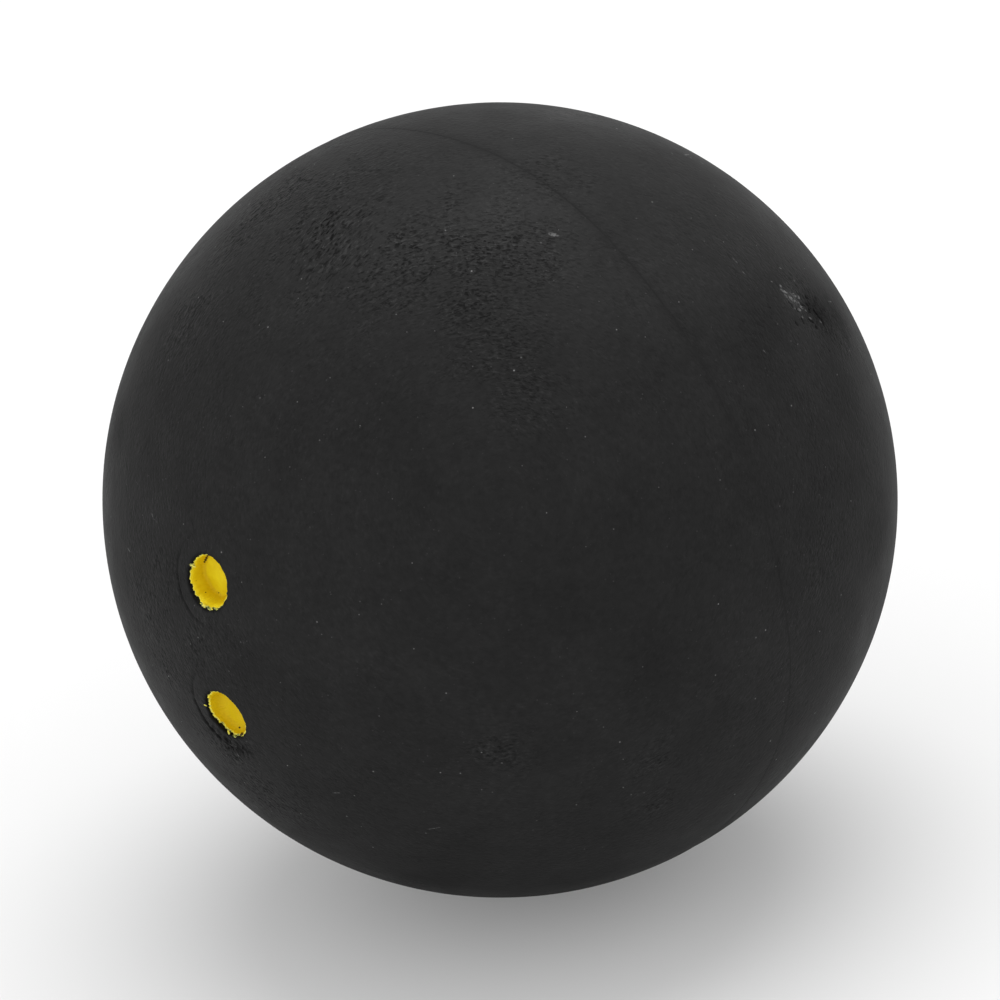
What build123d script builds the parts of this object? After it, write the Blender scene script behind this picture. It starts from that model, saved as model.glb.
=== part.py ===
"""Squash ball: a hollow rubber ball of two moulded half shells, glued rim to rim at a seam.

The frame's origin is the ball's centre. The seam lies in the XZ plane. The front half, towards -Y,
has two small pits beside its pole, one above the other along Z, each lined with yellow paint.
All sizes are in millimetres.
"""

import math
import os

from build123d import *

# The ball and its wall
ball_diameter = 40.0
wall = 5.0

# The glued seam between the two rims
film_thickness = 0.10
seam_round = 0.12
bead_radius = 0.50

# The two pits that hold the colour code
dot_spacing = 7.30
pit_diameter = 2.90
pit_depth = 1.10
pit_draft = 6.0
pit_floor_round = 0.25
paint_thickness = 0.10

# The witness groove that the mould's pin leaves round each pit
ring_diameter = 4.80
ring_width = 0.12
ring_depth = 0.06

# Sizes that follow from the ones above
ball_radius = ball_diameter / 2
cavity_radius = ball_radius - wall
film_outer_radius = ball_radius - seam_round
film_inner_radius = cavity_radius - bead_radius / 2
dot_height = dot_spacing / 2
dot_centres = {"upper_dot_paint": (0, dot_height), "lower_dot_paint": (0, -dot_height)}
surface_at_dot = math.sqrt(ball_radius**2 - dot_height**2)
pit_floor_diameter = pit_diameter - 2 * pit_depth * math.tan(math.radians(pit_draft))
pit_floor_plane = Plane.XZ.offset(surface_at_dot - pit_depth)
plug_length = ball_radius - surface_at_dot + 2 * pit_depth


# Rear half shell, a plain hollow hemisphere whose rim's outer edge is rounded by buffing
with BuildPart() as rear_half_shell:
    with BuildSketch(Plane.XY):
        Circle(ball_radius)
        Circle(cavity_radius, mode=Mode.SUBTRACT)
        with Locations((0, film_thickness / 2)):
            quarter = (Align.MIN, Align.MIN)
            Rectangle(ball_diameter, ball_diameter, align=quarter, mode=Mode.INTERSECT)
    revolve(axis=Axis.Y)
    rim = rear_half_shell.faces().sort_by(Axis.Y)[0]
    fillet(rim.edges().sort_by(SortBy.LENGTH)[-1], radius=seam_round)

# One pit's plug, from its floor to past the ball's surface, drafted the way the mould opens
with BuildPart() as pit_plug:
    with BuildSketch(pit_floor_plane):
        Circle(pit_floor_diameter / 2)
    extrude(amount=plug_length, taper=-pit_draft)
    pit_floor = pit_plug.faces().sort_by(Axis.Y)[-1]
    fillet(pit_floor.edges(), radius=pit_floor_round)

# One witness ring's cutter, which follows the ball's surface at an even depth
with BuildPart() as ring_cutter:
    with BuildSketch(pit_floor_plane):
        with Locations(dot_centres["upper_dot_paint"]):
            Circle((ring_diameter + ring_width) / 2)
            Circle((ring_diameter - ring_width) / 2, mode=Mode.SUBTRACT)
    extrude(amount=plug_length)
    Sphere(ball_radius - ring_depth, mode=Mode.SUBTRACT)

# Front half shell, the rear one mirrored, with the pits and their rings cut into it
with BuildPart() as front_half_shell:
    mirror(rear_half_shell.part, about=Plane.XZ)
    with Locations(*[(x, 0, z) for x, z in dot_centres.values()]):
        add(pit_plug.part, mode=Mode.SUBTRACT)
    add(ring_cutter.part, mode=Mode.SUBTRACT)
    add(ring_cutter.part.mirror(Plane.XY), mode=Mode.SUBTRACT)

# Adhesive film between the rims, with the bead that is squeezed out into the cavity
with BuildPart() as seam_adhesive:
    with BuildSketch(Plane.XY):
        with Locations((cavity_radius, 0)):
            Circle(bead_radius)
        Circle(cavity_radius, mode=Mode.INTERSECT)
        with Locations(((film_inner_radius + film_outer_radius) / 2, 0)):
            Rectangle(film_outer_radius - film_inner_radius, film_thickness)
    revolve(axis=Axis.Y)


def dot_paint(centre):
    """The coat of paint on one pit's floor and wall, flush with the ball's surface at the mouth."""
    x, z = centre
    with BuildPart() as paint:
        with Locations((x, 0, z)):
            add(pit_plug.part)
        mouth = paint.faces().sort_by(Axis.Y)[0]
        offset(amount=-paint_thickness, openings=mouth)
        Sphere(ball_radius, mode=Mode.INTERSECT)
    return paint


os.makedirs("parts", exist_ok=True)
pieces = {
    "front_half_shell": front_half_shell,
    "rear_half_shell": rear_half_shell,
    "seam_adhesive": seam_adhesive,
    **{name: dot_paint(centre) for name, centre in dot_centres.items()},
}
for name, piece in pieces.items():
    piece.part.label = name
    export_step(piece.part, f"parts/{name}.step")
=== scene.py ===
"""Squash ball: two buffed black rubber half shells, the glued seam and two yellow dots.

The scene is in metres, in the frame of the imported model: the origin is the ball's centre, the seam
lies in the XZ plane and the dots are in the front half, towards -Y, one above the other along Z.
Marks on the skin are placed by the pixel at which the photograph shows them.
"""

import math
from dataclasses import dataclass

import bpy
from mathutils import Matrix, Vector, noise
from mathutils.geometry import delaunay_2d_cdt


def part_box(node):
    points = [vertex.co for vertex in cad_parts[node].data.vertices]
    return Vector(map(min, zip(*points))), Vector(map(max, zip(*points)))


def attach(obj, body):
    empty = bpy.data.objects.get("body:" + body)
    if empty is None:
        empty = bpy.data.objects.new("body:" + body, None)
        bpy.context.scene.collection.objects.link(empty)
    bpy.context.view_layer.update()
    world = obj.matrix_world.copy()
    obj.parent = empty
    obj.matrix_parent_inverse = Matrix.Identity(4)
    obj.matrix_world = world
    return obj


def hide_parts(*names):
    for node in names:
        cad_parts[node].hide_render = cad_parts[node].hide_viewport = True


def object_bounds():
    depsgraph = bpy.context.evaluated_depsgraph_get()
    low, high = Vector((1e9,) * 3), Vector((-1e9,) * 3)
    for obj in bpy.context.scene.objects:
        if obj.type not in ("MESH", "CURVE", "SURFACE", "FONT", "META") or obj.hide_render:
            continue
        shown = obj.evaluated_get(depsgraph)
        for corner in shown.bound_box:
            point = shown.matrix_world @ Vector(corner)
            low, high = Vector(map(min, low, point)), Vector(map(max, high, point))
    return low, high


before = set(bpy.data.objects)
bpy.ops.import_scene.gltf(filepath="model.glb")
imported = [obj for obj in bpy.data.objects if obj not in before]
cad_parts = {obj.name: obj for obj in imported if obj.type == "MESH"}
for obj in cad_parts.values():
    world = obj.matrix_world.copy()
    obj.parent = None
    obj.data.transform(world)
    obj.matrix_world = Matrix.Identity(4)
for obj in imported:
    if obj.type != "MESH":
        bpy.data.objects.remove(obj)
cad_low, cad_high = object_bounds()

MM = 0.001
FULL_TURN = 2 * math.pi
GOLDEN_TURN = math.pi * (3 - math.sqrt(5))

# Sizes that the frame gives
front_low, front_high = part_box("front_half_shell")
dot_low, dot_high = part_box("upper_dot_paint")
BALL_RADIUS = -front_low.y
FILM_HALF = -front_high.y
PIT_RADIUS = (dot_high.x - dot_low.x) / 2
PIT_FLOOR_Y = dot_high.y
DOT_HEIGHT = (dot_high.z + dot_low.z) / 2

# Sizes of what the frame's boxes don't show
WALL = 5.0 * MM
CAVITY_RADIUS = BALL_RADIUS - WALL
BEAD_RADIUS = 0.50 * MM
PIT_DRAFT = math.tan(math.radians(6.0))
PAINT_THICKNESS = 0.10 * MM
PAINT_GAP = 0.012 * MM
PIT_FLOOR_ROUND = 0.22 * MM

# How the skin departs from a true ball
ROLL_SIZE = 6.0 * MM
ROLL_DEPTH = 0.020 * MM
DIMPLE_SIZE = 0.9 * MM
DIMPLE_DEPTH = 0.006 * MM

# The pits' worn lips, the width of the painted shade and dirt along them, and the ragged mouths
LIP_ROUND = 0.05 * MM
LIP_SHADE_AND_DIRT_WIDTH = 0.13 * MM
MOUTH_WAVE = 0.03 * MM
MOUTH_NOTCH = 0.09 * MM
MOUTH_EASE = 0.03 * MM

# The witness rings, plain on one side of the pits and faint on the other
RING_RADIUS = 2.40 * MM
RING_WIDTH = 0.09 * MM
RING_DEPTH = 0.12 * MM
RING_WANDER = 0.08 * MM
RING_LEAST = 0.12
RING_EVEN = 0.8
RING_UNEVEN = 0.4
RING_AT = math.radians(212)
RING_SPREAD = math.radians(50)

# The torn rubber beside the lower dot's ring
TORN_RADIUS = 2.20 * MM
TORN_WIDTH = 0.50 * MM
TORN_DEPTH = 0.09 * MM
TORN_CHUNK = 0.28 * MM
TORN_AT = math.radians(255)
TORN_SPREAD = math.radians(45)

# The nicks: the depth, and the shares of the half width at which the floor ends and the rim begins
NICK_DEPTH = 0.08 * MM
NICK_FLOOR = 0.3
NICK_RIM = 1.3

# The paint's ragged upper edge, which lies deeper on the bare side of the lip
PAINT_EDGE_LEAST = 0.01 * MM
PAINT_EDGE_NOTCH = 0.20 * MM
BARE_AT = math.radians(240)
BARE_SPREAD = math.radians(42)
THIN_UNTIL = 0.01 * MM
THICK_FROM = 0.08 * MM

# The coat: its share of the thickness at the edge, the rows to full thickness, and lumps as a share of it
PAINT_EDGE_COAT = 0.35
PAINT_SWELL_ROWS = 4
PAINT_CORNER_MOST = 0.8
LUMP_SIZE = 0.30 * MM
LUMP_FINE_SIZE = 0.13 * MM
LUMP_HEIGHT = 0.12
# How deep the paint's colour is at the foot of the wall, a painted shade, and evenly over a pit
FOOT_DEEPNESS = 0.75
EVEN_DEEPNESS = 0.8

# The flecks' shape, as shares of the half width: rings of a spread and a lift, and their ragged outline
FLECK_LEAST = 0.55
FLECK_RAGGED = 1.2
FLECK_ROOT = 0.6
FLECK_TOP = 0.45
FLECK_PROFILE = [(1.0, -FLECK_ROOT), (0.9, 0.2), (0.5, 0.4)]

# The seam line, which is buffed almost flush and strays from its plane
SEAM_WIDTH = 0.40 * MM
SEAM_DEPTH = 0.022 * MM
SEAM_PLAINNESS = 0.60
SEAM_UNEVENNESS = 0.95
SEAM_WOBBLE = 0.20 * MM
SEAM_DRIFT = 0.65 * MM
SEAM_DRIFT_AT = math.radians(-24)
SEAM_DRIFT_SPREAD = math.radians(24)
SEAM_BUFFED_AT = math.radians(114)
SEAM_BUFFED_SPREAD = math.radians(10)
SEAM_BUFFED_SHARE = 0.8
SEAM_REACH = 3.0 * MM
FILM_RECESS = 0.002 * MM

# How finely the meshes are divided, and the least angle at which an edge looks sharp
SHARP_ANGLE = math.radians(55)
SKIN_SPACING = 0.24 * MM
SKIN_MARGIN = 0.7 * SKIN_SPACING
PATCH_MARGIN = 0.4 * SKIN_SPACING
INSIDE_SPACING = 1.20 * MM
INSIDE_MARGIN = 0.8 * INSIDE_SPACING
EVEN_TRIANGLE = 1.15
MERGE_LIMIT = 1e-8
SEAM_COLUMNS = 480
SEAM_ROWS = [0.0, 0.05 * MM, 0.11 * MM, 0.19 * MM, 0.30 * MM, 0.45 * MM, 0.64 * MM]
BEAD_STEPS = 8
DOT_ROW_FINE = 0.05 * MM
DOT_FINE_RADIUS = 2.90 * MM
DOT_PATCH_RADIUS = 3.60 * MM
MOUTH_FADE = 0.70 * MM
SCUFF_SPACING = 0.042 * MM
SCUFF_REACH = 2.0 * MM
PIT_COLUMNS = 200
PIT_WALL_ROWS = 9
PIT_ROW_EASE = 1.4
CUP_WALL_ROWS = 14
CUP_CORNER_ROWS = 7
CUP_FLOOR_ROWS = 10
FLECK_COLUMNS = 24

# The islands of a half shell's map: the middle, the size and the radius that fills it
MAP_ISLANDS = {
    "skin": ((0.5, 0.5), 0.492, BALL_RADIUS),
    "inside": ((0.07, 0.07), 0.066, CAVITY_RADIUS),
    "rim": ((0.93, 0.07), 0.066, BALL_RADIUS),
}

# The photograph's view
PHOTO_SIDE = 1000
BALL_RADIUS_PX = 398
PIXEL = BALL_RADIUS / BALL_RADIUS_PX
SENSOR_MM = 36.0
CAMERA_DISTANCE = 35 * BALL_RADIUS
CAMERA_AZIMUTH = math.radians(48.67)
CAMERA_ELEVATION = math.radians(25.5)
CAMERA_ROLL = math.radians(-6.83)
CAMERA_CLIP_END = 10.0

# Patches of grain: the middle pixel, the reach in pixels and the strength
GRAIN_PATCHES = [
    ((262, 215), 45, 1.1), ((325, 235), 60, 1.4), ((350, 180), 40, 0.8), ((395, 262), 50, 1.2),
    ((440, 230), 45, 0.9), ((475, 250), 48, 1.0), ((515, 252), 45, 1.0), ((470, 300), 42, 0.75),
    ((500, 345), 45, 0.6), ((525, 390), 40, 0.45), ((545, 175), 38, 0.5), ((190, 320), 42, 0.6),
    ((150, 610), 45, 0.6), ((165, 665), 30, 0.5), ((262, 795), 50, 0.8), ((225, 748), 32, 0.9),
    ((498, 755), 24, 0.9), ((655, 760), 20, 0.7), ((655, 805), 20, 0.7), ((815, 312), 26, 1.0),
    ((835, 330), 24, 0.8), ((820, 565), 36, 0.35), ((290, 190), 40, 1.0), ((235, 240), 35, 0.9),
    ((360, 165), 35, 0.5), ((205, 650), 35, 0.6), ((160, 570), 35, 0.4),
]

# Patches of tone, paler or darker: dust and dirt, and painted highlight and painted shade, such as the
# paler top and the darker bottom of the ball's outline: the middle pixel, the reach in pixels and the share
# added
TONE_PATCHES = [
    ((575, 118), 55, 0.18), ((520, 220), 70, 0.18), ((625, 310), 50, 0.14), ((340, 600), 130, 0.12),
    ((520, 790), 75, 0.14), ((835, 450), 110, -0.12), ((826, 318), 36, -0.24), ((760, 325), 50, -0.22),
    ((840, 385), 45, -0.22), ((880, 520), 40, -0.12), ((150, 400), 90, -0.10), ((118, 425), 40, -0.20),
    ((240, 270), 50, -0.12), ((425, 880), 50, -0.20), ((170, 325), 40, -0.10), ((838, 318), 24, -0.28),
    ((817, 311), 20, -0.32), ((792, 298), 11, 0.60), ((876, 550), 40, -0.10), ((120, 575), 40, -0.10),
    ((240, 230), 30, -0.15), ((560, 882), 60, -0.12), ((780, 280), 40, -0.10),
]

# The even grain everywhere else, weaker towards the ball's outline and worn smooth on one spot
GRAIN_BASE = 0.23
GRAIN_LEAST = 0.11
GRAIN_OUTLINE = 0.45
WORN_PIXEL = (560, 570)
WORN_REACH = 230 * PIXEL

# The patches' ragged edges, and the soft patches on the side that the photograph doesn't show
GRAIN_RAGGED = 0.5
GRAIN_RAGGED_SIZE = 2.0 * MM
GRAIN_UNSEEN = 0.6
GRAIN_UNSEEN_SIZE = 7.0 * MM

# Clouds in the rubber's tone, and how much painted shade and dirt darken the seam and the witness rings
TONE_CLOUD = 0.10
TONE_CLOUD_SIZE = 6.0 * MM
SEAM_SHADE_AND_DIRT = 0.40
RING_SHADE_AND_DIRT = 1.4

# A patch whose grain is swept another way, in rings about the point at another pixel
SWEPT_PIXEL = (332, 243)
SWEPT_REACH = 62 * PIXEL
SWEPT_ABOUT_PIXEL = (591, 390)

# Marks on the skin: the pixels at both ends and the half width in pixels
PALE_MARKS = [
    ((548, 233), (559, 236), 3.0), ((732, 257), (739, 264), 0.9), ((741, 270), (747, 275), 0.8),
    ((151, 512), (153, 518), 0.8), ((153, 518), (157, 523), 0.8), ((127, 547), (130, 552), 1.2),
    ((671, 152), (674, 155), 1.0), ((684, 155), (690, 154), 1.2), ((700, 161), (704, 164), 1.5),
    ((238, 206), (242, 203), 1.0), ((247, 206), (251, 202), 1.0), ((332, 793), (341, 793), 0.8),
    ((425, 830), (443, 827), 0.8), ((237, 754), (239, 757), 1.4),
]
DARK_MARKS = [
    ((420, 284), (429, 276), 1.0), ((428, 277), (434, 267), 1.0), ((829, 350), (831, 352), 2.2),
]

# The scuff: its middle, its pale scrapes and the nicks cut into it, placed as the marks are
SCUFF_PIXEL = (805, 310)
SCUFF_SCRAPES = [
    ((780, 285), (782, 287), 2.2), ((780, 289), (788, 293), 2.4), ((785, 294), (787, 297), 2.4),
    ((789, 297), (794, 300), 3.0), ((793, 294), (796, 296), 2.8), ((797, 296), (800, 298), 3.0),
    ((794, 300), (797, 303), 2.4), ((798, 302), (800, 304), 2.0), ((800, 306), (803, 308), 3.0),
    ((798, 309), (801, 310), 2.4), ((794, 307), (796, 309), 1.8), ((805, 310), (807, 311), 1.3),
    ((802, 316), (804, 319), 1.5), ((809, 317), (812, 319), 1.5), ((819, 320), (822, 323), 1.4),
    ((828, 301), (832, 302), 1.0), ((794, 280), (795, 281), 1.6), ((771, 281), (773, 282), 1.0),
    ((789, 340), (792, 341), 1.0), ((763, 349), (766, 353), 1.0), ((779, 267), (782, 269), 1.0),
]
SCUFF_NICKS = [
    ((801, 304), (803, 305), 1.5), ((802, 319), (804, 323), 1.6), ((809, 319), (813, 322), 1.6),
    ((815, 296), (816, 300), 1.4), ((814, 310), (816, 313), 1.6), ((823, 308), (826, 312), 2.2),
    ((828, 302), (829, 305), 1.8), ((796, 323), (798, 325), 1.4), ((816, 327), (817, 328), 1.5),
    ((770, 307), (771, 308), 1.6), ((806, 297), (807, 298), 1.4), ((792, 305), (793, 307), 1.4),
    ((797, 309), (798, 311), 1.4), ((789, 302), (790, 303), 1.2), ((822, 320), (824, 325), 1.6),
    ((806, 303), (808, 305), 1.2), ((809, 309), (810, 312), 1.3), ((818, 316), (820, 318), 1.4),
]

# Dark marks in the pits, dirt and a painted shadow along the upper pit's corner: how deep they reach along
# the line of sight, then the pixel and the half width in pixels
PIT_MARK_REACH = 3.2 * MM
PIT_DIRT_AND_SHADE = [
    ((204, 562), 1.3), ((205, 560), 1.7), ((206, 558), 1.7), ((207, 556), 1.3), ((218, 593), 0.9),
    ((239, 728), 1.4), ((242, 734), 2.0), ((241, 735), 1.7),
]

# Flecks of paint on the lips: the pixels at both ends and the half width in pixels
UPPER_FLECKS = [
    ((189, 564), (192, 566), 1.9), ((201, 605), (204, 607), 1.5), ((207, 608), (210, 610), 1.7),
    ((214, 609), (216, 610), 1.0),
]
LOWER_FLECKS = [
    ((204, 705), (206, 706), 0.7), ((227, 732), (228, 735), 1.1), ((233, 737), (235, 738), 1.3),
]


def camera_axes():
    """The camera's right, up and back directions in the ball's frame."""
    flat = math.cos(CAMERA_ELEVATION)
    back = Vector((math.sin(CAMERA_AZIMUTH) * flat, -math.cos(CAMERA_AZIMUTH) * flat,
                   math.sin(CAMERA_ELEVATION)))
    level = Vector((math.cos(CAMERA_AZIMUTH), math.sin(CAMERA_AZIMUTH), 0))
    upright = back.cross(level)
    right = math.cos(CAMERA_ROLL) * level + math.sin(CAMERA_ROLL) * upright
    return right, back.cross(right), back


RIGHT, UP, BACK = camera_axes()
FOCAL_PX = BALL_RADIUS_PX * math.sqrt((CAMERA_DISTANCE / BALL_RADIUS) ** 2 - 1)


def on_ball(pixel):
    """The point of the ball that the photograph shows at a pixel."""
    middle = PHOTO_SIDE / 2
    ray = (RIGHT * (pixel[0] - middle) + UP * (middle - pixel[1]) - BACK * FOCAL_PX).normalized()
    eye = BACK * CAMERA_DISTANCE
    along = -eye.dot(ray)
    short = along * along - eye.length_squared + BALL_RADIUS**2
    return eye + ray * (along - math.sqrt(max(short, 0.0)))


def skin_marks(marks):
    """Marks between two pixels, as the points of the skin at both ends and a half width."""
    return [(on_ball(start), on_ball(end), half_width * PIXEL) for start, end, half_width in marks]


def pit_marks(marks):
    """Marks at one pixel, each reaching from above the skin down into a pit along the line of sight."""
    reach = BACK * PIT_MARK_REACH
    return [(on_ball(pixel) + reach / 2, on_ball(pixel) - reach, half_width * PIXEL)
            for pixel, half_width in marks]


def skin_patches(patches):
    """Patches at a pixel, as the point of the skin, a reach and a strength."""
    return [(on_ball(pixel), reach * PIXEL, strength) for pixel, reach, strength in patches]


# The patches and marks as places on the skin
GRAINS = skin_patches(GRAIN_PATCHES)
TONES = skin_patches(TONE_PATCHES)
WORN_SPOT = on_ball(WORN_PIXEL)
SWEPT_SPOT = on_ball(SWEPT_PIXEL)
SCUFF_MIDDLE = on_ball(SCUFF_PIXEL)
NICKS = skin_marks(SCUFF_NICKS)


def add_camera():
    data = bpy.data.cameras.new("camera")
    data.sensor_width = SENSOR_MM
    data.lens = SENSOR_MM * FOCAL_PX / PHOTO_SIDE
    data.clip_end = CAMERA_CLIP_END
    camera = bpy.data.objects.new("camera", data)
    turn = Matrix((RIGHT, UP, BACK)).transposed().to_4x4()
    camera.matrix_world = Matrix.Translation(BACK * CAMERA_DISTANCE) @ turn
    bpy.context.scene.collection.objects.link(camera)
    bpy.context.scene.camera = camera


class Build:
    """The vertices, faces and map islands of one piece while it is put together."""

    def __init__(self):
        self.points = []
        self.faces = []
        self.islands = []

    def add(self, points):
        start = len(self.points)
        self.points.extend(points)
        return list(range(start, len(self.points)))

    def face(self, corners, island="skin"):
        self.faces.append(tuple(corners))
        self.islands.append(island)

    def bridge(self, first, second, island="skin"):
        """Quads between two closed rings of the same length."""
        for i, a in enumerate(first):
            j = (i + 1) % len(first)
            self.face((a, first[j], second[j], second[i]), island)

    def fan(self, ring, tip):
        for i, a in enumerate(ring):
            self.face((a, ring[(i + 1) % len(ring)], tip))

    def to_object(self, name):
        mesh = bpy.data.meshes.new(name)
        mesh.from_pydata(self.points, [], self.faces)
        mesh.update()
        mesh.shade_smooth()
        mesh.set_sharp_from_angle(angle=SHARP_ANGLE)
        piece = bpy.data.objects.new(name, mesh)
        bpy.context.scene.collection.objects.link(piece)
        return piece


def bell(distance, width):
    """A bell curve: 1 at no distance, and about a third at the width."""
    return math.exp(-((distance / width) ** 2))


def rise(value, low, high):
    """A smooth step from 0 at low to 1 at high."""
    share = min(1.0, max(0.0, (value - low) / (high - low)))
    return share * share * (3 - 2 * share)


def ripple(angle, pace, seed):
    """Smooth noise round a circle, from -1 to 1."""
    return noise.noise(Vector((math.cos(angle) * pace, math.sin(angle) * pace, seed)))


def turned(angle, start):
    """The angle from start, between half a turn back and half a turn on."""
    return math.remainder(angle - start, FULL_TURN)


def turn_of(point):
    """The angle of a point about the ball's Y axis."""
    return math.atan2(point.z, point.x)


def surface_y(x, z):
    """The front of the nominal ball over a point of the XZ plane."""
    return -math.sqrt(BALL_RADIUS**2 - x * x - z * z)


def notches(angle, seed):
    """Torn notches round a circle, sharp at their tips, from 0 to about 1."""
    coarse = abs(ripple(angle, 4.5, seed))
    fine = abs(ripple(angle, 12.0, seed + 3))
    return coarse + 0.6 * fine


@dataclass
class Dot:
    """One yellow dot: its pit, the bare lip, how evenly deep its paint's colour is, its ring and its
    flecks.
    """

    node: str
    height: float
    shrink: float
    shift: float
    shift_from: float
    corner: float
    bare: float
    even_deepness: float
    ring: float
    flecks: list

    def polar(self, point):
        """A point's distance and angle from the pit's axis."""
        return math.hypot(point.x, point.z - self.height), math.atan2(point.z - self.height, point.x)

    def at(self, distance, angle, y):
        return Vector((distance * math.cos(angle), y, self.height + distance * math.sin(angle)))

    def on_skin(self, distance, angle):
        place = self.at(distance, angle, 0.0)
        place.y = surface_y(place.x, place.z)
        return place

    def mouth(self, angle):
        """The radius of the pit's ragged mouth."""
        oval = self.shrink + self.shift * math.cos(angle - self.shift_from)
        seed = self.height / MM
        ragged = MOUTH_WAVE * ripple(angle, 2.0, seed) + MOUTH_NOTCH * notches(angle, seed)
        return PIT_RADIUS - oval + ragged - MOUTH_EASE

    def paint_edge(self, angle):
        """How far under the ball's surface the paint ends."""
        bare = self.bare * bell(turned(angle, BARE_AT), BARE_SPREAD)
        ragged = PAINT_EDGE_NOTCH * notches(angle, 8 + self.height / MM)
        return LIP_ROUND + bare + PAINT_EDGE_LEAST + ragged


UPPER_DOT = Dot("upper_dot_paint", height=DOT_HEIGHT, shrink=0.05 * MM, shift=0.15 * MM,
                shift_from=math.radians(27), corner=0.20 * MM, bare=0.06 * MM, even_deepness=0.2, ring=0.5,
                flecks=UPPER_FLECKS)
LOWER_DOT = Dot("lower_dot_paint", height=-DOT_HEIGHT, shrink=0.11 * MM, shift=0.22 * MM,
                shift_from=math.radians(58), corner=0.60 * MM, bare=0.15 * MM, even_deepness=0.75, ring=1.0,
                flecks=LOWER_FLECKS)
DOTS = (UPPER_DOT, LOWER_DOT)


def seam_strength(angle):
    """How plain the seam is, by the angle about the Y axis."""
    buffed = bell(turned(angle, SEAM_BUFFED_AT), SEAM_BUFFED_SPREAD)
    uneven = SEAM_PLAINNESS + SEAM_UNEVENNESS * ripple(angle, 3.2, seed=3.7)
    return uneven * (1 - SEAM_BUFFED_SHARE * buffed)


def seam_shift(angle):
    """How far the seam line strays along Y, by the angle about that axis."""
    drift = SEAM_DRIFT * bell(turned(angle, SEAM_DRIFT_AT), SEAM_DRIFT_SPREAD)
    return drift + SEAM_WOBBLE * ripple(angle, 2.6, seed=9.2)


def ring_groove(point, dot):
    """How deep in a dot's witness ring a point lies, from 0 to 1."""
    distance, angle = dot.polar(point)
    wander = RING_WANDER * ripple(angle, 3.0, seed=2.2 + dot.height / MM)
    side = RING_LEAST + (1 - RING_LEAST) * bell(turned(angle, RING_AT), RING_SPREAD)
    uneven = RING_EVEN + RING_UNEVEN * ripple(angle, 5.0, seed=1.3)
    return dot.ring * side * uneven * bell(distance - RING_RADIUS - wander, RING_WIDTH)


def torn(point):
    """How torn the rubber is beside the lower dot's ring, from 0 to 1."""
    distance, angle = LOWER_DOT.polar(point)
    if point.y > 0 or distance > DOT_PATCH_RADIUS:
        return 0.0
    return bell(distance - TORN_RADIUS, TORN_WIDTH) * bell(turned(angle, TORN_AT), TORN_SPREAD)


def dot_sink(point):
    """How far the skin round the two dots lies under the ball's surface."""
    sink = 0.0
    for dot in DOTS:
        distance, angle = dot.polar(point)
        if distance > DOT_PATCH_RADIUS:
            continue
        past_mouth = max(0.0, distance - dot.mouth(angle))
        sink += LIP_ROUND * math.exp(-past_mouth / LIP_ROUND)
        sink += RING_DEPTH * ring_groove(point, dot)
    chunk = rise(noise.noise(point / TORN_CHUNK), -0.1, 0.35)
    return sink + TORN_DEPTH * torn(point) * chunk


def nick_sink(point):
    """How far the nicks of the scuff are cut into the skin."""
    if (point - SCUFF_MIDDLE).length > SCUFF_REACH:
        return 0.0
    cut = 0.0
    for first, last, half_width in NICKS:
        along = (point - first).dot(last - first) / (last - first).length_squared
        nearest = first + (last - first) * min(1.0, max(0.0, along))
        cut = max(cut, 1 - rise((point - nearest).length / half_width, NICK_FLOOR, NICK_RIM))
    return NICK_DEPTH * cut


def skin_sink(point):
    """How far the moulded and buffed skin lies under the nominal ball."""
    rolling = 0.5 + 0.5 * noise.noise(point / ROLL_SIZE)
    dimple = 0.5 + 0.5 * noise.noise(point / DIMPLE_SIZE + Vector((5, 5, 5)))
    groove = max(0.0, seam_strength(turn_of(point))) * bell(abs(point.y) - FILM_HALF, SEAM_WIDTH)
    return ROLL_DEPTH * rolling + DIMPLE_DEPTH * dimple + SEAM_DEPTH * groove


def shaped(point, front):
    """The finished place of a point of the nominal ball."""
    sink = skin_sink(point)
    sink += dot_sink(point) if front else nick_sink(point)
    shift = seam_shift(turn_of(point)) * math.exp(-abs(point.y) / SEAM_REACH)
    return (point + Vector((0, shift, 0))).normalized() * (BALL_RADIUS - sink)


def even_cap(radius, spacing, lowest):
    """Evenly spread points of a half ball towards -Y, no nearer than lowest to the XZ plane."""
    top = radius - lowest
    count = int(FULL_TURN * radius * top / spacing**2)
    points = []
    for i in range(count):
        angle = i * GOLDEN_TURN
        y = -radius + top * (i + 0.5) / count
        flat = math.sqrt(radius * radius - y * y)
        points.append(Vector((flat * math.cos(angle), y, flat * math.sin(angle))))
    return points


def scuff_patch(middle):
    """Closely spread points of the skin about the middle of the scuff."""
    count = int(math.pi * SCUFF_REACH**2 / SCUFF_SPACING**2)
    across = middle.orthogonal().normalized()
    other = middle.normalized().cross(across)
    points = []
    for i in range(count):
        angle = i * GOLDEN_TURN
        flat = across * math.cos(angle) + other * math.sin(angle)
        reach = SCUFF_REACH * math.sqrt((i + 0.5) / count)
        points.append((middle + flat * reach).normalized() * BALL_RADIUS)
    return points


def circle(radius, y, count):
    angles = [FULL_TURN * i / count for i in range(count)]
    return [Vector((radius * math.cos(a), y, radius * math.sin(a))) for a in angles]


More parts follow.
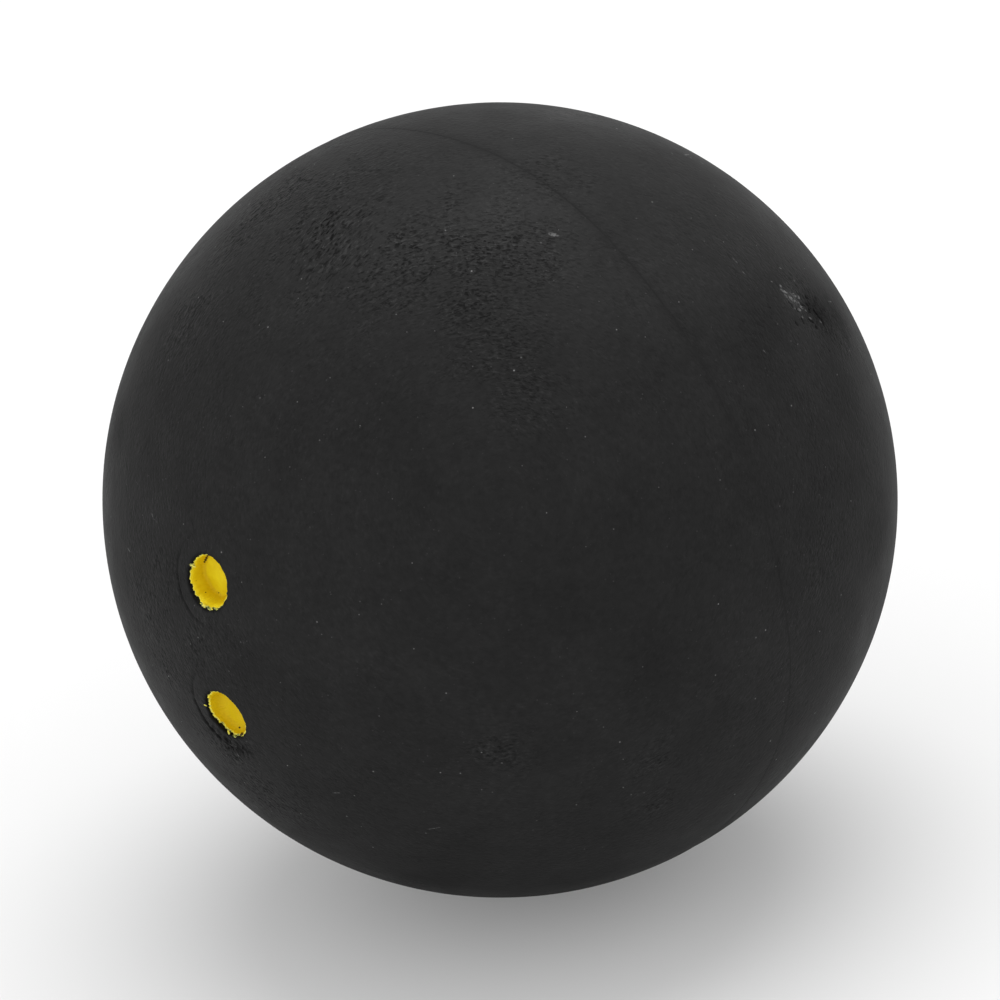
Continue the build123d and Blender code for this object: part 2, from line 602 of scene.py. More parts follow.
def dot_patch(dot):
    """Rings of points round one pit, from its mouth outwards, fine near the mouth."""
    points = []
    row = 0
    reach = 0.0
    while PIT_RADIUS + reach < DOT_PATCH_RADIUS:
        distance = PIT_RADIUS + reach
        coarse = max(0.0, (distance - DOT_FINE_RADIUS) / (DOT_PATCH_RADIUS - DOT_FINE_RADIUS))
        step = DOT_ROW_FINE + (SKIN_SPACING - DOT_ROW_FINE) * coarse
        count = PIT_COLUMNS if row == 0 else int(FULL_TURN * distance / (step * EVEN_TRIANGLE))
        for i in range(count):
            angle = FULL_TURN * (i + 0.5 * (row % 2)) / count
            fade = max(0.0, 1 - reach / MOUTH_FADE)
            ragged = distance + (dot.mouth(angle) - PIT_RADIUS) * fade
            points.append(dot.on_skin(ragged, angle))
        row += 1
        reach += step
    return points


def triangles(points, radius, holes=()):
    """Delaunay triangles of points on a half ball towards -Y, by their flat stereographic view.

    Holes are rings of point numbers that no triangle covers.
    """
    flat = [Vector((p.x, p.z)) / (radius - p.y) for p in points]
    _, _, faces, origins, _, covers = delaunay_2d_cdt(flat, [], holes, 0, MERGE_LIMIT)
    kept = [face for face, cover in zip(faces, covers) if not cover]
    return [tuple(origins[i][0] for i in face) for face in kept]


def near_dot(point):
    return any(dot.polar(point)[0] < DOT_PATCH_RADIUS + PATCH_MARGIN for dot in DOTS)


def near_scuff(point):
    return (point - SCUFF_MIDDLE).length < SCUFF_REACH + PATCH_MARGIN


def half_shell(name, front):
    """One half shell as a closed mesh: skin, rim and inside. Both are laid out towards -Y."""
    build = Build()
    rows = [FILM_HALF + reach for reach in SEAM_ROWS]
    skin = []
    for y in rows:
        skin += circle(math.sqrt(BALL_RADIUS**2 - y * y), -y, SEAM_COLUMNS)
    side = Vector((1, 1 if front else -1, 1))
    cap = even_cap(BALL_RADIUS, SKIN_SPACING, rows[-1] + SKIN_MARGIN)
    fine = near_dot if front else near_scuff
    skin += [point for point in cap if not fine(point * side)]
    mouths = []
    if front:
        for dot in DOTS:
            mouths.append(list(range(len(skin), len(skin) + PIT_COLUMNS)))
            skin += dot_patch(dot)
    else:
        skin += scuff_patch(SCUFF_MIDDLE * side)
    build.add(skin)
    for corners in triangles(skin, BALL_RADIUS, mouths):
        build.face(corners)
    build.points = [shaped(point * side, front) for point in skin]
    for dot, mouth in zip(DOTS, mouths):
        add_pit(build, mouth, dot)
    add_inside(build, side)
    if not front:
        build.faces = [tuple(reversed(face)) for face in build.faces]
    piece = build.to_object(name)
    lay_map(piece, build.islands)
    add_traits(piece, {"grain": grain, "swept": swept, "tone": tone, "crevice": crevice, "torn": torn})
    return piece


def add_pit(build, mouth, dot):
    """The rubber wall and floor of one pit under its mouth."""
    ring = mouth
    for level in range(1, PIT_WALL_ROWS + 1):
        share = (level / PIT_WALL_ROWS) ** PIT_ROW_EASE
        row = []
        for start in (build.points[i] for i in mouth):
            distance, angle = dot.polar(start)
            deep = (PIT_FLOOR_Y - start.y) * share
            row.append(dot.at(distance - deep * PIT_DRAFT, angle, start.y + deep))
        row = build.add(row)
        build.bridge(ring, row)
        ring = row
    tip = build.add([dot.at(0.0, 0.0, PIT_FLOOR_Y)])[0]
    build.fan(ring, tip)


def add_inside(build, side):
    """The flat rim and the cavity's wall, which close the half shell."""
    inner = circle(CAVITY_RADIUS, -FILM_HALF, SEAM_COLUMNS)
    cavity = inner + even_cap(CAVITY_RADIUS, INSIDE_SPACING, FILM_HALF + INSIDE_MARGIN)
    ids = build.add([point * side for point in cavity])
    build.bridge(ids[:SEAM_COLUMNS], range(SEAM_COLUMNS), "rim")
    for corners in triangles(cavity, CAVITY_RADIUS):
        build.face([ids[i] for i in reversed(corners)], "inside")


def map_place(point, island):
    """Where a point lies in the unit square of the piece's map, by the island of its face."""
    middle, size, radius = MAP_ISLANDS[island]
    share = min(1.0, math.hypot(point.x, point.z) / radius)
    spread = share if island == "rim" else math.sqrt(1 - math.sqrt(1 - share * share))
    angle = turn_of(point)
    return middle[0] + size * spread * math.cos(angle), middle[1] + size * spread * math.sin(angle)


def lay_map(piece, islands):
    layer = piece.data.uv_layers.new(name="OFBake")
    for polygon, island in zip(piece.data.polygons, islands):
        for corner in polygon.loop_indices:
            point = piece.data.vertices[piece.data.loops[corner].vertex_index].co
            layer.data[corner].uv = map_place(point, island)


def add_traits(piece, rules):
    """Writes numbers that the materials read, one for each vertex, by rules on its place."""
    for name, rule in rules.items():
        layer = piece.data.attributes.new(name, "FLOAT", "POINT")
        layer.data.foreach_set("value", [rule(vertex.co) for vertex in piece.data.vertices])


def grain(point):
    """How grained the skin is: as photographed on the side seen there, and in soft patches elsewhere."""
    facing = point.dot(BACK) / BALL_RADIUS
    ragged = 1 + GRAIN_RAGGED * noise.noise(point / GRAIN_RAGGED_SIZE)
    seen = rise(facing, 0.05, 0.30)
    shown = max(strength * bell((point - middle).length, reach * ragged)
                for middle, reach, strength in GRAINS)
    unseen = GRAIN_UNSEEN * rise(noise.noise(point / GRAIN_UNSEEN_SIZE) * ragged, -0.05, 0.50)
    worn = bell((point - WORN_SPOT).length, WORN_REACH)
    least = GRAIN_BASE + (GRAIN_LEAST - GRAIN_BASE) * worn
    least *= GRAIN_OUTLINE + (1 - GRAIN_OUTLINE) * rise(facing, 0.10, 0.60)
    return least + (1 - least) * (seen * shown + (1 - seen) * unseen)


def swept(point):
    """How far the grain is swept the other way, from 0 to 1."""
    return rise(bell((point - SWEPT_SPOT).length, SWEPT_REACH), 0.25, 0.65)


def tone(point):
    """How much paler than its mean the rubber is, as a factor: random clouds, and patches of dust, dirt,
    painted highlight and painted shade.
    """
    cloudy = TONE_CLOUD * noise.noise(point / TONE_CLOUD_SIZE)
    return 1 + cloudy + sum(share * bell((point - middle).length, reach) for middle, reach, share in TONES)


def crevice(point):
    """How far painted shade and dirt darken the seam, the witness rings and the lips, from 0 to 1."""
    angle = turn_of(point)
    line = seam_shift(angle)
    shade = SEAM_SHADE_AND_DIRT * max(0.0, seam_strength(angle)) * bell(point.y - line, SEAM_WIDTH)
    if point.y < 0:
        shade += sum(RING_SHADE_AND_DIRT * ring_groove(point, dot) + lip_shade_and_dirt(point, dot) for dot in DOTS)
    return min(1.0, shade)


def lip_shade_and_dirt(point, dot):
    """How much painted shade and dirt darken the lip of a pit, from 0 to 1."""
    distance, angle = dot.polar(point)
    return bell(distance - dot.mouth(angle), LIP_SHADE_AND_DIRT_WIDTH)


def seam_ring():
    """The adhesive film's buffed edge and the bead inside, as one closed ring."""
    build = Build()
    rings = []
    for y in (FILM_HALF, 0.0, -FILM_HALF):
        recess = FILM_RECESS if y else 2 * FILM_RECESS
        edge = [shaped(point, False) for point in circle(BALL_RADIUS, y, SEAM_COLUMNS)]
        rings.append(build.add([point * (1 - recess / BALL_RADIUS) for point in edge]))
    rings.append(build.add(circle(CAVITY_RADIUS, -FILM_HALF, SEAM_COLUMNS)))
    for i in range(BEAD_STEPS + 1):
        lean = math.pi * (i / BEAD_STEPS - 0.5)
        reach = CAVITY_RADIUS - BEAD_RADIUS * math.cos(lean)
        rings.append(build.add(circle(reach, BEAD_RADIUS * math.sin(lean), SEAM_COLUMNS)))
    rings.append(build.add(circle(CAVITY_RADIUS, FILM_HALF, SEAM_COLUMNS)))
    for first, second in zip(rings, rings[1:] + rings[:1]):
        build.bridge(first, second)
    piece = build.to_object("seam_film")
    add_traits(piece, {"crevice": crevice})
    return piece


def cup_column(dot, angle, coat, corner):
    """One column of a coat's surface, down the wall and over the floor, as distances and Y places."""
    mouth = dot.mouth(angle)
    lip_y = dot.on_skin(mouth, angle).y
    top = lip_y + dot.paint_edge(angle)
    floor_y = PIT_FLOOR_Y - coat
    corner = min(corner, PAINT_CORNER_MOST * (floor_y - top))
    column = []
    for row in range(CUP_WALL_ROWS):
        y = top + (floor_y - corner - top) * row / (CUP_WALL_ROWS - 1)
        swell = min(1.0, PAINT_EDGE_COAT + row / PAINT_SWELL_ROWS)
        column.append((mouth - (y - lip_y) * PIT_DRAFT - coat * swell, y))
    start = column[-1][0]
    for row in range(1, CUP_CORNER_ROWS + 1):
        lean = math.pi / 2 * row / CUP_CORNER_ROWS
        column.append((start - corner * (1 - math.cos(lean)), floor_y - corner * (1 - math.sin(lean))))
    start = column[-1][0]
    for row in range(1, CUP_FLOOR_ROWS):
        column.append((start * (1 - row / CUP_FLOOR_ROWS), floor_y))
    return column


def cup_surface(build, dot, coat, corner):
    """One side of a coat of paint, as rings from its ragged edge to the middle of the floor."""
    angles = [FULL_TURN * i / PIT_COLUMNS for i in range(PIT_COLUMNS)]
    columns = [cup_column(dot, angle, coat, corner) for angle in angles]
    rings = []
    for row in zip(*columns):
        points = []
        for angle, (reach, y) in zip(angles, row):
            point = dot.at(reach, angle, y)
            lump = noise.noise(point / LUMP_SIZE) + 0.5 * noise.noise(point / LUMP_FINE_SIZE)
            point.y -= LUMP_HEIGHT * coat * lump
            points.append(point)
        rings.append(build.add(points))
    tip = build.add([dot.at(0.0, 0.0, PIT_FLOOR_Y - coat)])[0]
    return rings, tip


def dot_cup(dot):
    """One dot's coat of paint, with a ragged upper edge, lumps, and flecks on the lip."""
    build = Build()
    under, under_tip = cup_surface(build, dot, PAINT_GAP, PIT_FLOOR_ROUND)
    over, over_tip = cup_surface(build, dot, PAINT_THICKNESS, dot.corner)
    for first, second in zip(over, over[1:]):
        build.bridge(first, second)
    build.fan(over[-1], over_tip)
    for first, second in zip(under, under[1:]):
        build.bridge(second, first)
    build.fan(under[-1][::-1], under_tip)
    build.bridge(under[0], over[0])
    for start, end, half_width in dot.flecks:
        add_fleck(build, on_ball(start), on_ball(end), half_width * PIXEL)
    piece = build.to_object(dot.node.replace("_paint", "_coat"))
    add_traits(piece, {"thin": thin, "foot_shade_and_deepness": foot_shade_and_deepness})
    return piece


def add_fleck(build, start, end, half_width):
    """A ragged low smear of paint on the skin between two points."""
    base = shaped((start + end) / 2, True)
    out = base.normalized()
    along = (end - start) / 2
    across = out.cross(along).normalized() * half_width
    along += along.normalized() * half_width
    rings = []
    for spread, lift in FLECK_PROFILE:
        ring = []
        for i in range(FLECK_COLUMNS):
            angle = FULL_TURN * i / FLECK_COLUMNS
            reach = spread * (FLECK_LEAST + FLECK_RAGGED * notches(angle, base.z / MM))
            flat = along * (reach * math.cos(angle)) + across * (reach * math.sin(angle))
            ring.append(base + flat + out * (lift * half_width))
        rings.append(build.add(ring))
    for first, second in zip(rings, rings[1:]):
        build.bridge(first, second)
    root, top = build.add([base - out * (FLECK_ROOT * half_width), base + out * (FLECK_TOP * half_width)])
    build.fan(rings[0][::-1], root)
    build.fan(rings[-1], top)


def dot_of(point):
    return UPPER_DOT if point.z > 0 else LOWER_DOT


def thin(point):
    """How thin the paint is, from 0 to 1: at its ragged edge and in the flecks past the lip."""
    dot = dot_of(point)
    distance, angle = dot.polar(point)
    if distance > dot.mouth(angle):
        return 1.0
    edge_y = dot.on_skin(dot.mouth(angle), angle).y + dot.paint_edge(angle)
    return 1 - rise(point.y - edge_y, THIN_UNTIL, THICK_FROM)


def foot_shade_and_deepness(point):
    """How deep the paint's colour is, from 0 to 1: most at the foot of the wall, which is painted shade, or
    nearer an even depth by the dot's share.
    """
    dot = dot_of(point)
    distance, angle = dot.polar(point)
    mouth = dot.mouth(angle)
    lip_y = dot.on_skin(mouth, angle).y
    depth = (point.y - lip_y) / (PIT_FLOOR_Y - lip_y)
    foot = FOOT_DEEPNESS * rise(depth, 0.05, 0.85) * rise(distance / mouth, 0.74, 0.82)
    return foot + dot.even_deepness * (EVEN_DEEPNESS - foot)


class Shading:
    """One material's node tree, with a short call for each kind of node used here."""

    def __init__(self, name):
        self.material = bpy.data.materials.new(name)
        self.material.use_nodes = True
        self.tree = self.material.node_tree
        self.shader = self.tree.nodes["Principled BSDF"]

    def node(self, kind, **settings):
        node = self.tree.nodes.new("ShaderNode" + kind)
        for name, value in settings.items():
            setattr(node, name, value)
        return node

    def feed(self, socket, value):
        """Gives a socket another node's output, or a plain number, vector or colour."""
        if isinstance(value, bpy.types.NodeSocket):
            self.tree.links.new(value, socket)
        else:
            socket.default_value = value

    def set(self, **values):
        """Sets the shader's own sockets, with _ for a space in their names."""
        for name, value in values.items():
            self.feed(self.shader.inputs[name.replace("_", " ")], value)

    def math(self, operation, *values):
        node = self.node("Math", operation=operation)
        for socket, value in zip(node.inputs, values):
            self.feed(socket, value)
        return node.outputs[0]

    def vector(self, operation, *values, output=0):
        node = self.node("VectorMath", operation=operation)
        for socket, value in zip(node.inputs, values):
            self.feed(socket, value)
        return node.outputs[output]

    def scaled(self, vector, size):
        node = self.node("VectorMath", operation="SCALE")
        self.feed(node.inputs["Vector"], vector)
        self.feed(node.inputs["Scale"], size)
        return node.outputs[0]

    def total(self, *values):
        result = values[0]
        for value in values[1:]:
            result = self.math("ADD", result, value)
        return result

    def product(self, *values):
        result = values[0]
        for value in values[1:]:
            result = self.math("MULTIPLY", result, value)
        return result

    def line(self, value, slope, start):
        """A value times a slope, on top of a start."""
        return self.math("MULTIPLY_ADD", value, slope, start)

    def trait(self, name):
        """A number that the mesh holds at its vertices."""
        return self.node("Attribute", attribute_name=name).outputs["Fac"]

    def place(self):
        """The surface's place on the piece, in millimetres."""
        spot = self.node("TexCoord").outputs["Object"]
        return self.vector("MULTIPLY", spot, (1 / MM, 1 / MM, 1 / MM))

    def noise(self, place, size, detail=2.0):
        """Soft noise about 0.5, whose lumps are about half of size across."""
        node = self.node("TexNoise")
        self.feed(node.inputs["Vector"], place)
        self.feed(node.inputs["Scale"], MM / size)
        self.feed(node.inputs["Detail"], detail)
        return node.outputs["Fac"]

    def rise(self, value, low, high):
        """A smooth step from 0 at low to 1 at high."""
        node = self.node("MapRange", interpolation_type="SMOOTHSTEP")
        for name, number in (("Value", value), ("From Min", low), ("From Max", high)):
            self.feed(node.inputs[name], number)
        return node.outputs["Result"]

    def blend(self, share, first, second):
        """One colour faded into another."""
        node = self.node("Mix", data_type="RGBA")
        for index, value in ((0, share), (6, first), (7, second)):
            self.feed(node.inputs[index], value)
        return node.outputs[2]

    def specks(self, place, spacing, least, most, kept):
        """Round specks of mixed size, and a random number for each. Only the share kept is shown."""
        node = self.node("TexVoronoi")
        self.feed(node.inputs["Vector"], place)
        self.feed(node.inputs["Scale"], MM / spacing)
        parts = self.node("SeparateColor")
        self.feed(parts.inputs[0], node.outputs["Color"])
        radius = self.line(parts.outputs[1], (most - least) / spacing, least / spacing)
        share = self.math("DIVIDE", node.outputs["Distance"], radius)
        shown = self.math("LESS_THAN", parts.outputs[0], kept)
        return self.product(self.rise(share, 1.0, 0.5), shown), parts.outputs[2]

    def marks(self, place, marks):
        """How far a point is inside any mark, each an ellipsoid between two points."""
        inside = 0.0
        for first, last, half_width in marks:
            width = half_width / MM
            node = self.node("Mapping", vector_type="TEXTURE")
            self.feed(node.inputs["Vector"], place)
            self.feed(node.inputs["Location"], (first + last) / (2 * MM))
            self.feed(node.inputs["Rotation"], (last - first).to_track_quat("X", "Z").to_euler())
            self.feed(node.inputs["Scale"], ((last - first).length / (2 * MM) + width / 2, width, width))
            away = self.vector("LENGTH", node.outputs[0], output="Value")
            inside = self.math("MAXIMUM", self.rise(away, 1.0, 0.5), inside)
        return inside

    def bump(self, height):
        """Bends the shading by a height in millimetres."""
        node = self.node("Bump")
        self.feed(node.inputs["Distance"], MM)
        self.feed(node.inputs["Height"], height)
        self.set(Normal=node.outputs[0])


# The rubber's finish: shades and roughness
RUBBER_SHADE = 0.0148
RUBBER_ROUGHNESS = 0.60
RUBBER_SPECULAR = 0.068
DUST_SHADE = 0.20
HAZE_SHADE = 0.032
SCUFF_SHADE = 0.095
# How dark the crevices and the grain's hollows are painted: painted shade, with dirt
CREVICE_DARKNESS = 0.70
HOLLOW_DARKNESS = 0.58
NICK_GAIN = 1.5
HOLLOW_ROUGHNESS = 0.2
SHEEN_SPREAD = 0.16
DULLNESS = 0.45

# The rubber's grain: dashes, swept about an axis, with pores between them, and chips where it is torn
GRAIN_AXIS = BACK
SWEPT_AXIS = on_ball(SWEPT_ABOUT_PIXEL).normalized()
DASH_WIDTH = 0.16 * MM
DASH_LENGTH = 0.26 * MM
SWEPT_DASH_LENGTH = 0.36 * MM
PORE_SIZE = 0.26 * MM
CHIP_SIZE = 0.24 * MM
CLUSTER_SIZE = 1.4 * MM
CLUSTER_LEAST = 0.68
CLUSTER_GAIN = 0.40

# Noise sizes of the rubber's shade, sheen and scrapes
MOTTLE_SIZE = 3.0 * MM
CLOUD_SIZE = 0.40 * MM
SHEEN_SIZE = 1.6 * MM
SCRAPE_GAP_SIZE = 0.12 * MM

# Specks: the spacing, the least and the greatest radius, and the share of them that is shown
DUST_SPECKS = (0.60 * MM, 0.025 * MM, 0.058 * MM, 0.75)
HAZE_SPECKS = (0.36 * MM, 0.020 * MM, 0.052 * MM, 0.85)
PAINT_SPECKS = (0.50 * MM, 0.020 * MM, 0.060 * MM, 0.35)

# The rubber's relief
HOLLOW_DEPTH = 0.052 * MM
CREST_HEIGHT = 0.034 * MM
SWELL_SIZE = 0.60 * MM
SWELL_HEIGHT = 0.080 * MM
FINE_SIZE = 0.25 * MM
FINE_HEIGHT = 0.014 * MM

# The paint's finish
PAINT_DEEP = (0.80, 0.61, 0.006, 1)
PAINT_BRIGHT = (0.88, 0.72, 0.014, 1)
PAINT_DEEPENED = (0.63, 0.42, 0.002, 1)
PAINT_PALE = (0.92, 0.80, 0.07, 1)
OLIVE_PALE = (0.50, 0.50, 0.16, 1)
OLIVE_DARK = (0.08, 0.12, 0.02, 1)
DIRT_AND_SHADE_BROWN = (0.05, 0.03, 0.005, 1)
PAINT_SPECULAR = 0.12
PAINT_ROUGHNESS = 0.38
PAINT_ROUGHNESS_SPREAD = 0.25
PAINT_CLOUD_SIZE = 0.60 * MM
SPECKLE_SIZE = 0.20 * MM
BRUSH_SIZE = 0.35 * MM
BRUSH_HEIGHT = 0.030 * MM
GRIT_SIZE = 0.10 * MM
GRIT_HEIGHT = 0.008 * MM

# The adhesive's finish
GLUE_CLOUD_SIZE = 0.80 * MM
GLUE_ROUGHNESS = 0.60
GLUE_ROUGHNESS_SPREAD = 0.2
GLUE_ROUGHNESS_SIZE = 0.30 * MM
GLUE_LUMP_SIZE = 0.25 * MM
GLUE_LUMP_HEIGHT = 0.015 * MM


def dash_noise(shading, place, axis, length):
    """Noise on the skin, drawn out along rings about an axis of the ball, as buffing leaves it."""
    towards = shading.vector("DOT_PRODUCT", place, axis, output="Value")
    lean = shading.math("ARCCOSINE", shading.math("MULTIPLY", towards, MM / BALL_RADIUS))
    flat = shading.vector("SUBTRACT", place, shading.vector("PROJECT", place, axis))
    turns = shading.scaled(flat, MM / length)
    rows = shading.scaled(axis, shading.math("MULTIPLY", lean, BALL_RADIUS / DASH_WIDTH))
    return shading.noise(shading.vector("ADD", turns, rows), MM, detail=1.0)


def rubber_material():
    """Matte black rubber: buffing grain in patches, dust and scuffs, with painted shade and dirt in the
    crevices, the grain's hollows and the nicks, and a painted highlight with dust on the grain's crests.
    """
    rubber = Shading("buffed_rubber")
    place = rubber.place()
    cluster = rubber.rise(rubber.noise(place, CLUSTER_SIZE), 0.40, 0.62)
    patch = rubber.product(rubber.trait("grain"), rubber.line(cluster, CLUSTER_GAIN, CLUSTER_LEAST))
    straight = dash_noise(rubber, place, GRAIN_AXIS, DASH_LENGTH)
    aside = dash_noise(rubber, place, SWEPT_AXIS, SWEPT_DASH_LENGTH)
    streak = rubber.line(rubber.trait("swept"), rubber.math("SUBTRACT", aside, straight), straight)
    dashes = rubber.rise(streak, 0.54, 0.70)
    crests = rubber.product(rubber.rise(streak, 0.46, 0.30), patch)
    pores = rubber.rise(rubber.noise(place, PORE_SIZE, detail=1.0), 0.58, 0.76)
    chips = rubber.rise(rubber.noise(place, CHIP_SIZE), 0.46, 0.62)
    hollow = rubber.product(rubber.math("MAXIMUM", dashes, pores), patch)
    hollow = rubber.math("MAXIMUM", hollow, rubber.product(chips, rubber.trait("torn")))
    dust, bright = rubber.specks(place, *DUST_SPECKS)
    haze, faint = rubber.specks(place, *HAZE_SPECKS)
    broken = rubber.rise(rubber.noise(place, SCRAPE_GAP_SIZE), 0.34, 0.64)

    mottle = rubber.line(rubber.noise(place, MOTTLE_SIZE, detail=3.0), 0.5, 0.75)
    cloud = rubber.line(rubber.noise(place, CLOUD_SIZE, detail=3.0), 0.6, 0.70)
    # The hollows, torn chips, nicks and dark marks are painted darker: painted shade in these recesses,
    # with dirt. The crests are painted paler: dust, and a painted highlight on the relief.
    nicks = rubber.product(rubber.marks(place, skin_marks(DARK_MARKS) + NICKS), NICK_GAIN)
    hollow_shade_and_dirt = rubber.line(rubber.math("MAXIMUM", hollow, nicks), -HOLLOW_DARKNESS, 1.0)
    worn = rubber.math("ADD", crests, 1.0)
    # The seam, the witness rings and the lips are painted darker: painted shade in these grooves, with dirt
    crevice_shade_and_dirt = rubber.line(rubber.trait("crevice"), -CREVICE_DARKNESS, 1.0)
    shade = rubber.product(mottle, cloud, hollow_shade_and_dirt, worn, crevice_shade_and_dirt, rubber.trait("tone"), RUBBER_SHADE)
    shade = rubber.line(rubber.product(dust, bright, bright), DUST_SHADE, shade)
    shade = rubber.line(rubber.product(haze, faint), HAZE_SHADE, shade)
    scuff = rubber.product(rubber.marks(place, skin_marks(PALE_MARKS + SCUFF_SCRAPES)), broken)
    shade = rubber.line(scuff, SCUFF_SHADE, shade)
    rubber.set(Base_Color=shade, Specular_IOR_Level=RUBBER_SPECULAR)

    sheen = rubber.noise(place, SHEEN_SIZE, detail=3.0)
    rough = rubber.line(sheen, SHEEN_SPREAD, RUBBER_ROUGHNESS - SHEEN_SPREAD / 2)
    dull = rubber.line(rubber.trait("tone"), -DULLNESS, DULLNESS)
    rubber.set(Roughness=rubber.total(rubber.product(hollow, HOLLOW_ROUGHNESS), rough, dull))

    rubber.bump(rubber.total(
        rubber.product(hollow, -HOLLOW_DEPTH / MM),
        rubber.product(crests, CREST_HEIGHT / MM),
        rubber.product(rubber.noise(place, SWELL_SIZE), patch, SWELL_HEIGHT / MM),
        rubber.product(rubber.noise(place, FINE_SIZE, detail=3.0), FINE_HEIGHT / MM),
    ))
    return rubber.material


def paint_material():
    """Yellow paint, brushed into the pits: mottled, dirty, and olive where it is thin over rubber, with a
    painted highlight along its ragged edge and painted shade at the foot of the walls and along a corner.
    """
    paint = Shading("yellow_paint")
    place = paint.place()
    cloud = paint.rise(paint.noise(place, PAINT_CLOUD_SIZE, detail=3.0), 0.30, 0.70)
    body = paint.blend(cloud, PAINT_DEEP, PAINT_BRIGHT)
    # The foot of each wall is painted deeper: painted shade in the corner. Each pit's paint is also
    # deepened evenly by its dot's share
    body = paint.blend(paint.trait("foot_shade_and_deepness"), body, PAINT_DEEPENED)
    # The ragged top of the paint is paler: a painted highlight along the pit's rim
    body = paint.blend(paint.rise(paint.trait("thin"), 0.45, 0.90), body, PAINT_PALE)
    speckle = paint.noise(place, SPECKLE_SIZE)
    faded = paint.rise(paint.math("ADD", paint.trait("thin"), speckle), 1.35, 1.60)
    olive = paint.blend(paint.rise(speckle, 0.50, 0.70), OLIVE_PALE, OLIVE_DARK)
    body = paint.blend(faded, body, olive)
    # Dirt specks, and dark marks in the pits that are dirt and a painted shadow along a corner
    dirt_and_shade, _ = paint.specks(place, *PAINT_SPECKS)
    dirt_and_shade = paint.math("MAXIMUM", dirt_and_shade, paint.marks(place, pit_marks(PIT_DIRT_AND_SHADE)))
    body = paint.blend(dirt_and_shade, body, DIRT_AND_SHADE_BROWN)
    paint.set(Base_Color=body, Specular_IOR_Level=PAINT_SPECULAR)
    paint.set(Roughness=paint.line(speckle, PAINT_ROUGHNESS_SPREAD, PAINT_ROUGHNESS))
    paint.bump(paint.total(
        paint.product(paint.noise(place, BRUSH_SIZE), BRUSH_HEIGHT / MM),
        paint.product(paint.noise(place, GRIT_SIZE), GRIT_HEIGHT / MM),
    ))
    return paint.material


def adhesive_material():
    """Cured rubber cement, a little darker than the rubber, dull, and darkened by painted shade and dirt as
    the seam is.
    """
    glue = Shading("cured_adhesive")
    place = glue.place()
    cloud = glue.line(glue.noise(place, GLUE_CLOUD_SIZE, detail=3.0), 0.6, 0.68)
    # The seam is painted darker: painted shade in its groove, with dirt
    crevice_shade_and_dirt = glue.line(glue.trait("crevice"), -CREVICE_DARKNESS, 1.0)
    glue.set(Base_Color=glue.product(cloud, crevice_shade_and_dirt, RUBBER_SHADE), Specular_IOR_Level=RUBBER_SPECULAR)
    sheen = glue.noise(place, GLUE_ROUGHNESS_SIZE)
    glue.set(Roughness=glue.line(sheen, GLUE_ROUGHNESS_SPREAD, GLUE_ROUGHNESS))
    glue.bump(glue.product(glue.noise(place, GLUE_LUMP_SIZE), GLUE_LUMP_HEIGHT / MM))
    return glue.material


def dress(piece, node, material):
    piece.data.materials.append(material)
    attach(piece, "root")
    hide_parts(node)


# The studio
FLOOR_SIDE = 12.0
FLOOR_SHADE = 0.73
FLOOR_GLOW = 0.18
KEY_ENERGY = 1.60
KEY_ANGLE = math.radians(50)
KEY_LEAN = 0.10
KEY_TOWARDS = (UP + BACK * KEY_LEAN).normalized()
SKY_STRENGTH = 0.85
SKY_GRADE = 0.24


def add_floor():
    """A plain pale floor under the ball's lowest point."""
    mesh = bpy.data.meshes.new("floor")
    reach = FLOOR_SIDE / 2
    corners = [(-reach, -reach), (reach, -reach), (reach, reach), (-reach, reach)]
    mesh.from_pydata([(x, y, cad_low.z) for x, y in corners], [], [(0, 1, 2, 3)])
    floor = bpy.data.objects.new("floor", mesh)
    bpy.context.scene.collection.objects.link(floor)
    mesh.materials.append(floor_material())


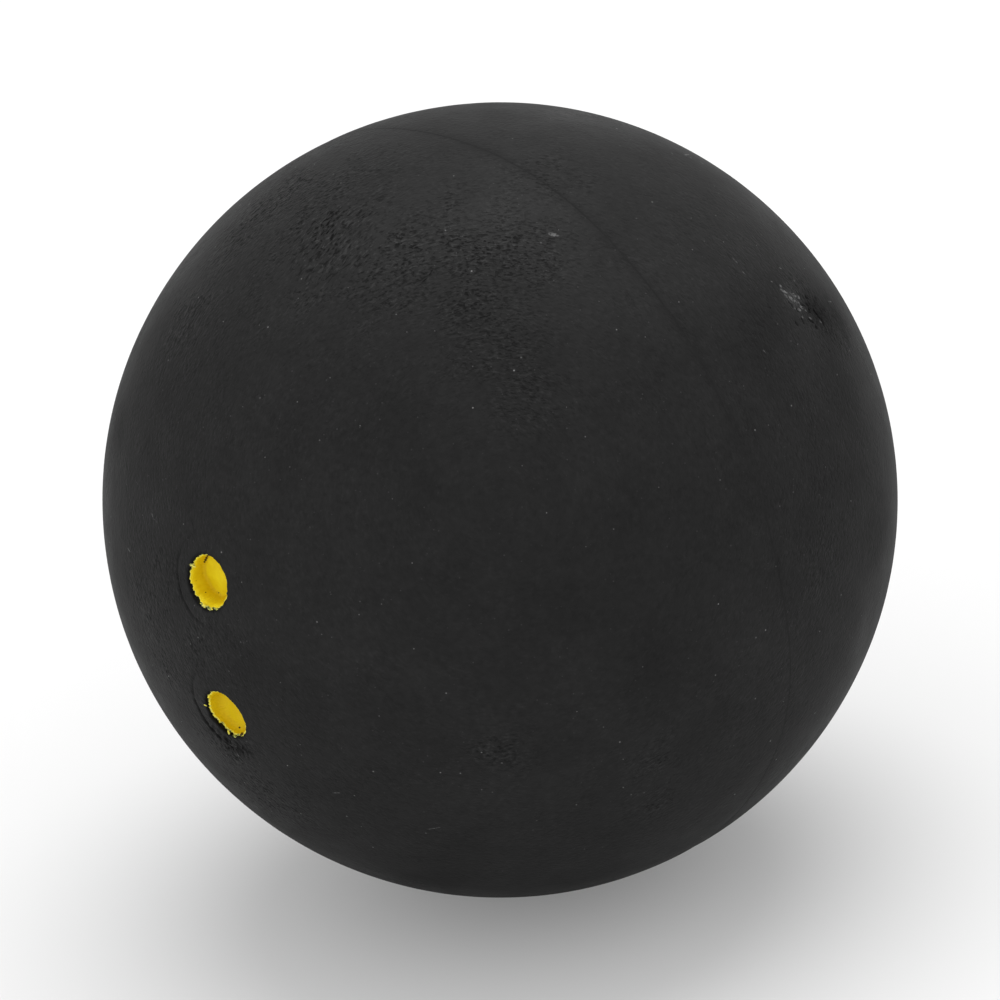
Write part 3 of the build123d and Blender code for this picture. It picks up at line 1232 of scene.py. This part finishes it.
def floor_material():
    """Pale paper, part of whose light is its own where it is seen, so that the shadow is soft."""
    paper = Shading("pale_floor")
    path = paper.node("LightPath").outputs
    seen = paper.math("MAXIMUM", path["Is Camera Ray"], path["Is Glossy Ray"])
    seen = paper.math("MAXIMUM", seen, path["Is Transmission Ray"])
    paper.set(Base_Color=paper.line(seen, -FLOOR_GLOW * FLOOR_SHADE, FLOOR_SHADE))
    paper.set(Emission_Color=(1, 1, 1, 1), Emission_Strength=paper.product(seen, FLOOR_GLOW))
    paper.set(Roughness=1.0, Specular_IOR_Level=0.0)
    return paper.material


def add_light():
    """A soft lamp above the ball, and a white room that is a little brighter at its ceiling."""
    lamp = bpy.data.lights.new("overhead_softbox", "SUN")
    lamp.energy = KEY_ENERGY
    lamp.angle = KEY_ANGLE
    holder = bpy.data.objects.new("overhead_softbox", lamp)
    holder.rotation_mode = "QUATERNION"
    holder.rotation_quaternion = KEY_TOWARDS.to_track_quat("Z", "Y")
    bpy.context.scene.collection.objects.link(holder)
    world = bpy.data.worlds.new("studio")
    world.use_nodes = True
    nodes = world.node_tree.nodes
    links = world.node_tree.links
    room = nodes["Background"]
    room.inputs["Color"].default_value = (1, 1, 1, 1)
    direction = nodes.new("ShaderNodeSeparateXYZ")
    links.new(nodes.new("ShaderNodeTexCoord").outputs["Generated"], direction.inputs[0])
    grade = nodes.new("ShaderNodeMath")
    grade.operation = "MULTIPLY_ADD"
    grade.inputs[1].default_value = SKY_GRADE
    grade.inputs[2].default_value = SKY_STRENGTH
    links.new(direction.outputs["Z"], grade.inputs[0])
    links.new(grade.outputs[0], room.inputs["Strength"])
    bpy.context.scene.world = world


add_camera()
add_floor()
add_light()
rubber_finish = rubber_material()
paint_finish = paint_material()
dress(half_shell("front_skin", True), "front_half_shell", rubber_finish)
dress(half_shell("rear_skin", False), "rear_half_shell", rubber_finish)
dress(seam_ring(), "seam_adhesive", adhesive_material())
for yellow_dot in DOTS:
    dress(dot_cup(yellow_dot), yellow_dot.node, paint_finish)

bpy.context.scene.view_settings.view_transform = "Standard"
